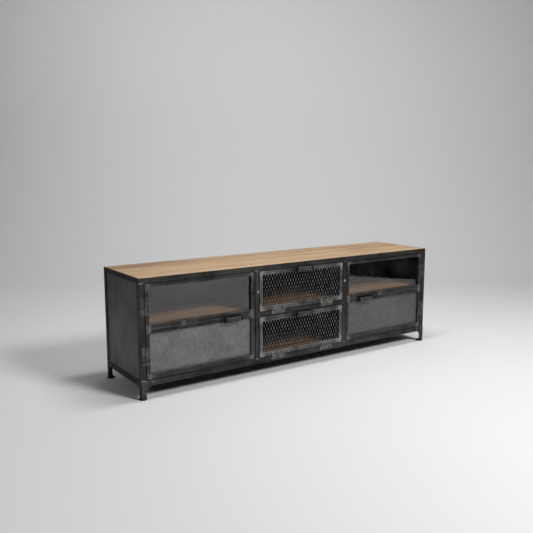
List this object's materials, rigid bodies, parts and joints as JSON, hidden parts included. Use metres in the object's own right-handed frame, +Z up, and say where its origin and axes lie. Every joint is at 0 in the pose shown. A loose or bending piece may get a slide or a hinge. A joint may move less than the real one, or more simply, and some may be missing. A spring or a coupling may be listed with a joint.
{
  "type": "tv stand with doors",
  "caption": "Low industrial TV stand: angle-iron frame with a wooden top, glazed steel doors at the sides and drop-down mesh flaps in the middle.",
  "frame": {"origin": "on the floor, under the middle of the whole outline", "axes": "+X to the right along the length seen from the front, +Y to the back, +Z up; the doors are at -Y"},
  "size_m": [1.82, 0.429, 0.555],
  "materials": {
    "frame_steel": "blackened angle iron, worn bright along the edges",
    "leaf_steel": "blackened steel bar, rubbed bright on its edges and at the welds",
    "sheet_steel": "grey waxed sheet steel with a cloudy mottle",
    "mesh_steel": "dark expanded metal",
    "hardware_steel": "worn steel hinges, pulls and latches",
    "glass": "clear float glass",
    "top_wood": "pale brown planks with fine straight grain, matt oil",
    "shelf_wood": "pale brown board, matt",
    "glide_plastic": "black plastic"
  },
  "bodies": {
    "cabinet": {"top_rim": "frame_steel", "bottom_rim": "frame_steel", "front_left_post": "frame_steel", "front_right_post": "frame_steel", "back_left_post": "frame_steel", "back_right_post": "frame_steel", "front_left_glide": "glide_plastic", "front_right_glide": "glide_plastic", "back_left_glide": "glide_plastic", "back_right_glide": "glide_plastic", "left_centre_post": "frame_steel", "left_gusset": "frame_steel", "right_centre_post": "frame_steel", "right_gusset": "frame_steel", "flap_rail": "frame_steel", "top_board": "top_wood", "bottom_board": "shelf_wood", "back_panel": "sheet_steel", "left_side_panel": "sheet_steel", "left_divider": "sheet_steel", "right_side_panel": "sheet_steel", "right_divider": "sheet_steel", "centre_shelf": "shelf_wood", "left_shelf": "shelf_wood", "right_shelf": "shelf_wood", "left_post_upper_hinge_leaf": "hardware_steel", "left_post_lower_hinge_leaf": "hardware_steel", "left_stud": "hardware_steel", "right_post_upper_hinge_leaf": "hardware_steel", "right_post_lower_hinge_leaf": "hardware_steel", "right_stud": "hardware_steel", "lower_rail_left_hinge_leaf": "hardware_steel", "lower_rail_right_hinge_leaf": "hardware_steel", "upper_rail_left_hinge_leaf": "hardware_steel", "upper_rail_right_hinge_leaf": "hardware_steel"},
    "left_door": {"left_door_frame": "leaf_steel", "left_door_glass": "glass", "left_door_panel": "sheet_steel", "left_door_pull": "hardware_steel", "left_door_upper_hinge_leaf": "hardware_steel", "left_door_lower_hinge_leaf": "hardware_steel"},
    "left_hook": {"left_hook": "hardware_steel"},
    "right_door": {"right_door_frame": "leaf_steel", "right_door_glass": "glass", "right_door_panel": "sheet_steel", "right_door_pull": "hardware_steel", "right_door_upper_hinge_leaf": "hardware_steel", "right_door_lower_hinge_leaf": "hardware_steel"},
    "right_hook": {"right_hook": "hardware_steel"},
    "upper_flap": {"upper_flap_frame": "leaf_steel", "upper_flap_mesh": "mesh_steel", "upper_flap_pull": "hardware_steel", "upper_flap_left_hinge_leaf": "hardware_steel", "upper_flap_right_hinge_leaf": "hardware_steel"},
    "lower_flap": {"lower_flap_frame": "leaf_steel", "lower_flap_mesh": "mesh_steel", "lower_flap_pull": "hardware_steel", "lower_flap_left_hinge_leaf": "hardware_steel", "lower_flap_right_hinge_leaf": "hardware_steel"}
  },
  "joints": [
    {"name": "left_door_hinge", "type": "hinge", "parent": "cabinet", "child": "left_door", "pos_m": [-0.87775, -0.2003, 0.3135], "axis": [0, 0, -1], "range_deg": [0, 110]},
    {"name": "right_door_hinge", "type": "hinge", "parent": "cabinet", "child": "right_door", "pos_m": [0.87775, -0.2003, 0.3135], "axis": [0, 0, 1], "range_deg": [0, 110]},
    {"name": "upper_flap_hinge", "type": "hinge", "parent": "cabinet", "child": "upper_flap", "pos_m": [0, -0.2003, 0.323], "axis": [1, 0, 0], "range_deg": [0, 90]},
    {"name": "lower_flap_hinge", "type": "hinge", "parent": "cabinet", "child": "lower_flap", "pos_m": [0, -0.2003, 0.089], "axis": [1, 0, 0], "range_deg": [0, 90]},
    {"name": "left_hook_pivot", "type": "hinge", "parent": "left_door", "child": "left_hook", "pos_m": [-0.3065, -0.2003, 0.425], "axis": [0, -1, 0], "range_deg": [0, 90]},
    {"name": "right_hook_pivot", "type": "hinge", "parent": "right_door", "child": "right_hook", "pos_m": [0.3065, -0.2003, 0.425], "axis": [0, 1, 0], "range_deg": [0, 90]}
  ]
}
